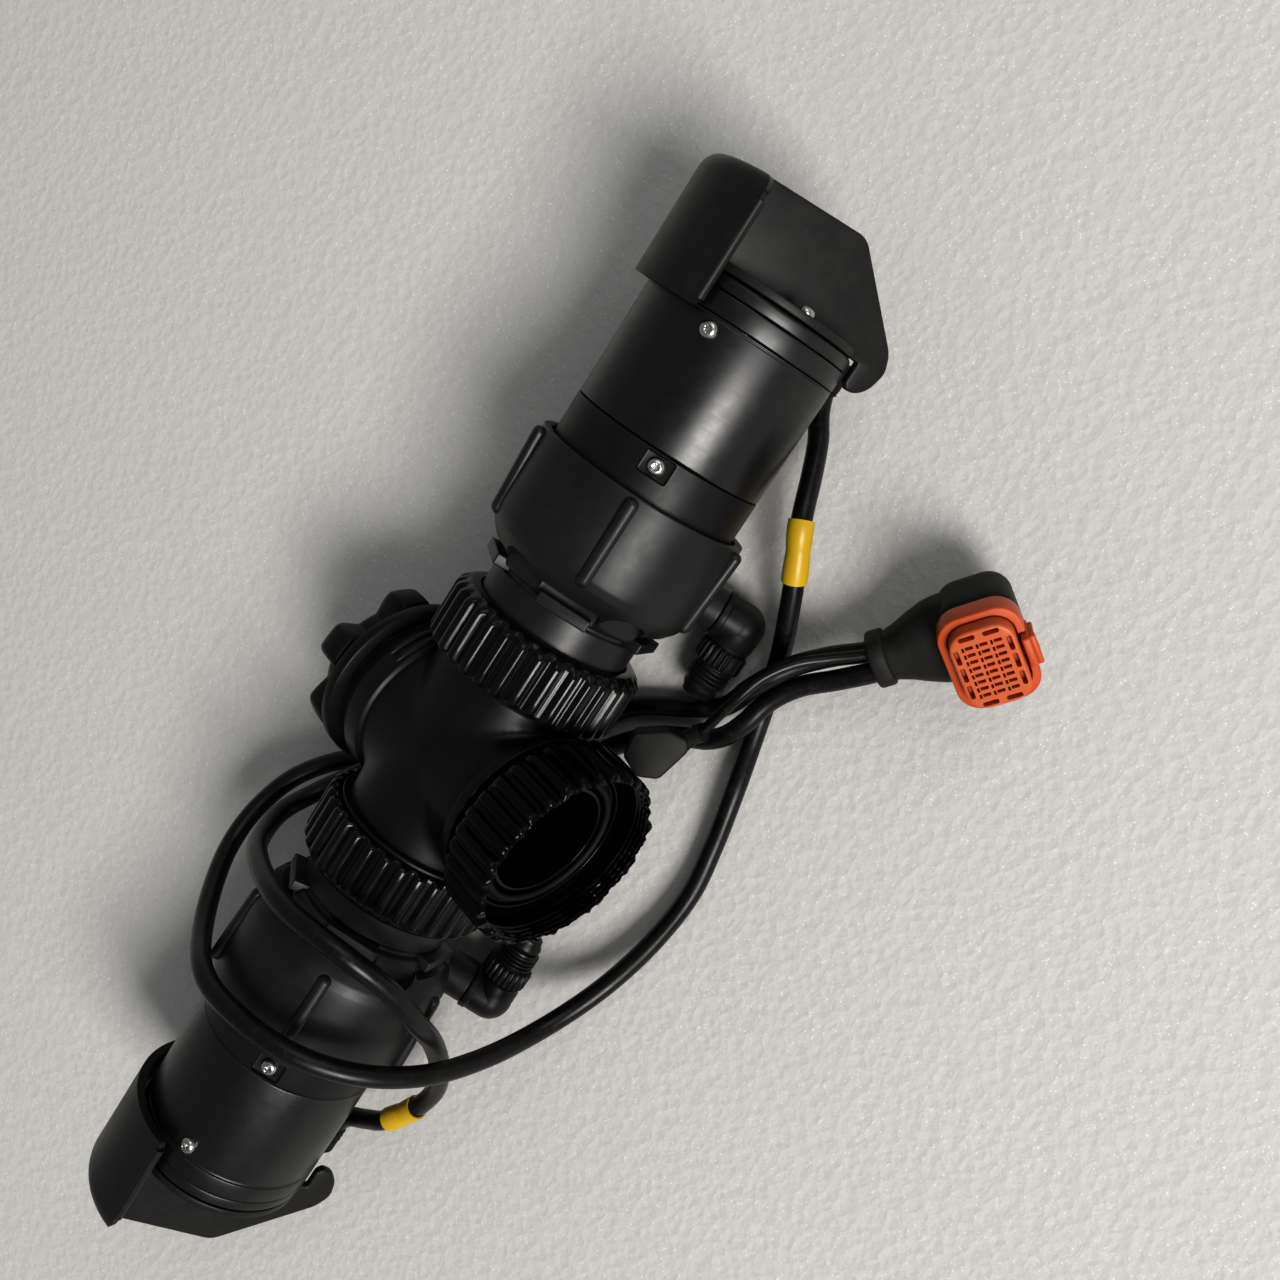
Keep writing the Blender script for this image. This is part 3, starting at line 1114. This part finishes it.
# ---------------------------------------------------------------- sealed connector
# Its own frame: origin at the middle of the face, z out of the face, x across its short side,
# y along its long side.
FACE_CENTRE = np.array([119.4, -114.6, 29.0])
OUT_AXIS = np.array([-0.3137, -0.1181, 0.9422])
OUT_AXIS /= np.linalg.norm(OUT_AXIS)
SHORT_AXIS = np.array([0.7976, -0.5711, 0.194])
SHORT_AXIS -= SHORT_AXIS @ OUT_AXIS * OUT_AXIS
SHORT_AXIS /= np.linalg.norm(SHORT_AXIS)
LONG_AXIS = np.cross(OUT_AXIS, SHORT_AXIS)
HEAD_SECTIONS = [  # z, inset
    (-33.0, 4.6), (-32.5, 2.9), (-31.4, 1.5), (-29.8, 0.6), (-28.0, 0.1), (-26, 0), (-20, 0),
    (-15.4, 0), (-14.5, 0.25), (-13.9, 0.9), (-13.7, 2.0)]
# Sections across x: width in y, height in z, x, centre z, corner radius.
NECK_SECTIONS = [
    (15.6, 14.2, -31.8, -24.5, 6.4), (16.6, 14.6, -29.3, -24.5, 6.6),
    (19.4, 15.4, -25.5, -24.5, 7.0), (23.6, 16.4, -21.0, -24.4, 7.3),
    (27.6, 17.0, -16.0, -24.2, 7.5), (28.8, 17.2, -13.0, -24.1, 7.5),
    (29.4, 17.0, -10.5, -24.0, 7.5), (28.5, 15.5, -5.0, -24.0, 7)]
COLLAR_SECTIONS = [
    (15.0, 14.4, -36.2, -24.5, 5.2), (16.6, 15.8, -35.8, -24.5, 5.6),
    (17.2, 16.4, -35.0, -24.5, 5.8), (17.2, 16.4, -31.4, -24.5, 5.8),
    (16.6, 15.8, -30.7, -24.5, 5.6), (14.8, 14.0, -30.4, -24.5, 5.0)]
CELL_COLUMNS, CELL_COLUMN_PITCH = 3, 4.3
CELL_ROWS, CELL_ROW_PITCH = 8, 2.45


def on_connector(shape):
    points, faces = shape
    return (FACE_CENTRE + np.outer(points[:, 0], SHORT_AXIS) + np.outer(points[:, 1], LONG_AXIS)
            + np.outer(points[:, 2], OUT_AXIS)), faces


def section_at_z(z, inset):
    outline = np.array(rounded_rect(23.5 - 2 * inset, 32 - 2 * inset, 7 - inset * 0.6, 8))
    return np.stack([outline[:, 0], outline[:, 1], np.full(len(outline), z)], 1)


def section_at_x(width, height, x, centre_z, radius):
    outline = np.array(rounded_rect(width, height, radius, 8))
    return np.stack([np.full(len(outline), x), outline[:, 0], outline[:, 1] + centre_z], 1)


def overmould():
    head = skin([section_at_z(*row) for row in HEAD_SECTIONS])
    neck = skin([section_at_x(*row) for row in NECK_SECTIONS])
    collar = skin([section_at_x(*row) for row in COLLAR_SECTIONS])
    piece("overmould_shell", on_connector(join(head, neck, collar)), "connector_black",
          replaces="connector_overmould", sharp=55)
    seal = prism(rounded_rect(21.4, 29.6, 6.6, 8), low=-13.8, high=-12.2, inset=0.4, steps=2)
    piece("overmould_seal", on_connector(seal), "seal_rubber", sharp=50)


def face_slot(x, y, size, radius, steps, depth):
    """Cutter for a slot in the face."""
    return move(prism(rounded_rect(*size, radius, steps), low=-depth, high=1.0), (x, y, 0))


def connector_face():
    """Front with a grid of two-part openings and slots along its four sides."""
    slots = []
    for i in range(CELL_COLUMNS):
        for j in range(CELL_ROWS):
            x, y = (i - 1) * CELL_COLUMN_PITCH, (j - 3.5) * CELL_ROW_PITCH
            cell = dict(radius=0.2, steps=2, depth=3.0)
            slots.append(face_slot(x + 0.45, y, size=(2.45, 1.15), **cell))
            slots.append(face_slot(x - 1.45, y - 0.2, size=(0.75, 1.55), **cell))
    border = dict(radius=0.6, steps=3, depth=3.4)
    for x in (-3.6, 3.6):
        slots += [face_slot(x, y, size=(4.9, 1.6), **border) for y in (-11.8, 11.8)]
    for y in (-6.3, 0.0, 6.3):
        slots += [face_slot(x, y, size=(1.5, 5.1), **border) for x in (-7.9, 7.9)]
    front = prism(rounded_rect(19.6, 27.6, 6.2, 8), low=-13.2, high=0, inset=0.9, steps=4)
    piece("connector_front", on_connector(front), "face_orange",
          tools=[on_connector(join(*slots))], slot="lock_orange", replaces="connector_face",
          bevel=dict(width=0.12, segments=2, angle=50))


def connector_lock():
    """Ring round the front, with a gap at +x for the latch."""
    ring = prism(rounded_rect(25.4, 33.0, 7.8, 10), low=-12.3, high=-4.6, inset=0.7, steps=4)
    opening = prism(rounded_rect(20.6, 28.6, 6.7, 10), low=-16, high=1)
    gap = box(size=(6, 11.4, 20), centre=(12.8, 0, -7), radius=0.4)
    piece("connector_lock_ring", on_connector(ring), "lock_orange",
          tools=[on_connector(opening), on_connector(gap)], body="lock_body",
          replaces="connector_lock", bevel=dict(width=0.3, segments=3, angle=40))


def connector_latch():
    """Lever with a raised bar, two rails and a cross bar on its +x side."""
    lever = join(box(size=(2.5, 10.2, 11.2), centre=(12.0, 0, -6.9), radius=0.6),
                 box(size=(1.9, 10.2, 2.4), centre=(13.9, 0, -3.4), radius=0.6),
                 box(size=(1.5, 1.6, 7.6), centre=(13.8, 3.9, -7.4), radius=0.4),
                 box(size=(1.5, 1.6, 7.6), centre=(13.8, -3.9, -7.4), radius=0.4),
                 box(size=(1.4, 5.6, 1.5), centre=(13.6, 0, -9.8), radius=0.4))
    piece("latch_lever", on_connector(lever), "lock_orange", body="latch_body",
          replaces="connector_latch", sharp=50)


overmould()
connector_face()
connector_lock()
connector_latch()

# ---------------------------------------------------------------- floor
FLOOR_REACH, FLOOR_LEVEL = 3, -0.0004  # metres


def floor_sheet():
    """Pale sheet with an embossed grain and small bright flakes."""
    mat = Shader("floor_sheet")
    slow = mat.noise(scale=3.2, detail=4.0, rough=0.6)
    mid = mat.noise(scale=38, detail=5.0, rough=0.6)
    fine = mat.noise(scale=520, detail=3.0, rough=0.6)
    cells = mat.voronoi(scale=250)
    # Flakes: the centres of the few cells whose random red value is high.
    channels = mat.node("ShaderNodeSeparateColor")
    mat.feed(channels.inputs[0], mat.voronoi(scale=1300, output="Color"))
    flakes = mat.times(mat.remap(channels.outputs[0], span=(0.88, 0.98)),
                       mat.remap(mat.voronoi(scale=1300), span=(0.15, 0.5), to=(1, 0)))
    base = mat.mix(slow, (0.535, 0.525, 0.500), (0.590, 0.582, 0.560))
    base = mat.tint(base, mid, amount=0.5, rgb=(0.60, 0.595, 0.575))
    base = mat.tint(base, flakes, amount=0.7, rgb=(0.92, 0.92, 0.90))
    height = mat.weighted((cells, 0.7), (fine, 0.6))
    normal = mat.bump(height, strength=0.62, distance=0.0007)
    mat.output(base, mat.remap(flakes, span=(0, 1), to=(0.62, 0.3)), normal, specular=0.4)


def build_floor():
    corners = [(x * FLOOR_REACH, y * FLOOR_REACH, FLOOR_LEVEL)
               for x, y in ((-1, -1), (1, -1), (1, 1), (-1, 1))]
    mesh = bpy.data.meshes.new("floor")
    mesh.from_pydata(corners, [], [(0, 1, 2, 3)])
    floor = bpy.data.objects.new("floor", mesh)
    SCENE.collection.objects.link(floor)
    floor_sheet()
    mesh.materials.append(MATERIALS["floor_sheet"])


build_floor()


# ---------------------------------------------------------------- light (metres, watts)
def area_light(name, target, direction, distance, size, power, colour):
    """Square lamp that looks at target from the given direction."""
    lamp = bpy.data.lights.new(name, "AREA")
    lamp.shape = "RECTANGLE"
    lamp.size = lamp.size_y = size
    lamp.energy = power
    lamp.color = colour
    obj = bpy.data.objects.new(name, lamp)
    SCENE.collection.objects.link(obj)
    direction = Vector(direction).normalized()
    obj.location = Vector(target) + direction * distance
    obj.rotation_mode = "QUATERNION"
    obj.rotation_quaternion = (-direction).to_track_quat("-Z", "Y")


def room():
    """World light, stronger from the horizon than from overhead."""
    world_light = bpy.data.worlds.new("room")
    world_light.use_nodes = True
    tree = world_light.node_tree
    background = tree.nodes["Background"]
    coordinates = tree.nodes.new("ShaderNodeTexCoord")
    split = tree.nodes.new("ShaderNodeSeparateXYZ")
    strength = tree.nodes.new("ShaderNodeMapRange")
    for name, value in (("From Min", -0.1), ("From Max", 1.0),
                        ("To Min", 0.32), ("To Max", 0.165)):
        strength.inputs[name].default_value = value
    tree.links.new(coordinates.outputs["Generated"], split.inputs[0])
    tree.links.new(split.outputs["Z"], strength.inputs["Value"])
    tree.links.new(strength.outputs["Result"], background.inputs["Strength"])
    background.inputs["Color"].default_value = (0.95, 0.975, 1.0, 1)
    SCENE.world = world_light


area_light("key", target=(0, 0, 0.04), direction=(-0.12, -0.78, 0.80), distance=3.8, size=1.5,
           power=134.0, colour=(1.0, 0.985, 0.965))
area_light("fill", target=(0.10, 0, 0.04), direction=(0.80, -0.15, 0.85), distance=1.3,
           size=0.75, power=2.6, colour=(0.98, 0.99, 1.0))
room()
SCENE.view_settings.view_transform = "Standard"
SCENE.view_settings.gamma = 0.80
SCENE.view_settings.exposure = 0.32

# ---------------------------------------------------------------- camera (drawing frame)
CAMERA_PLACE = (153.2, 0.0, 421.2)
CAMERA_RIGHT = (0.5402, -0.8391, -0.0645)
CAMERA_FORWARD = (-0.2088, -0.0594, -0.9762)


def build_camera():
    lens = bpy.data.cameras.new("camera")
    lens.sensor_width = 36.0
    lens.lens = 37.94
    lens.clip_start = 0.01
    lens.clip_end = 20
    camera = bpy.data.objects.new("camera", lens)
    SCENE.collection.objects.link(camera)
    forward = Vector(TILT @ np.array(CAMERA_FORWARD)).normalized()
    right = Vector(TILT @ np.array(CAMERA_RIGHT))
    right = (right - right.dot(forward) * forward).normalized()
    upward = right.cross(forward).normalized()
    place = world(CAMERA_PLACE)[0]
    rows = [(right[i], upward[i], -forward[i], place[i]) for i in range(3)]
    camera.matrix_world = Matrix((*rows, (0, 0, 0, 1)))
    SCENE.camera = camera


build_camera()
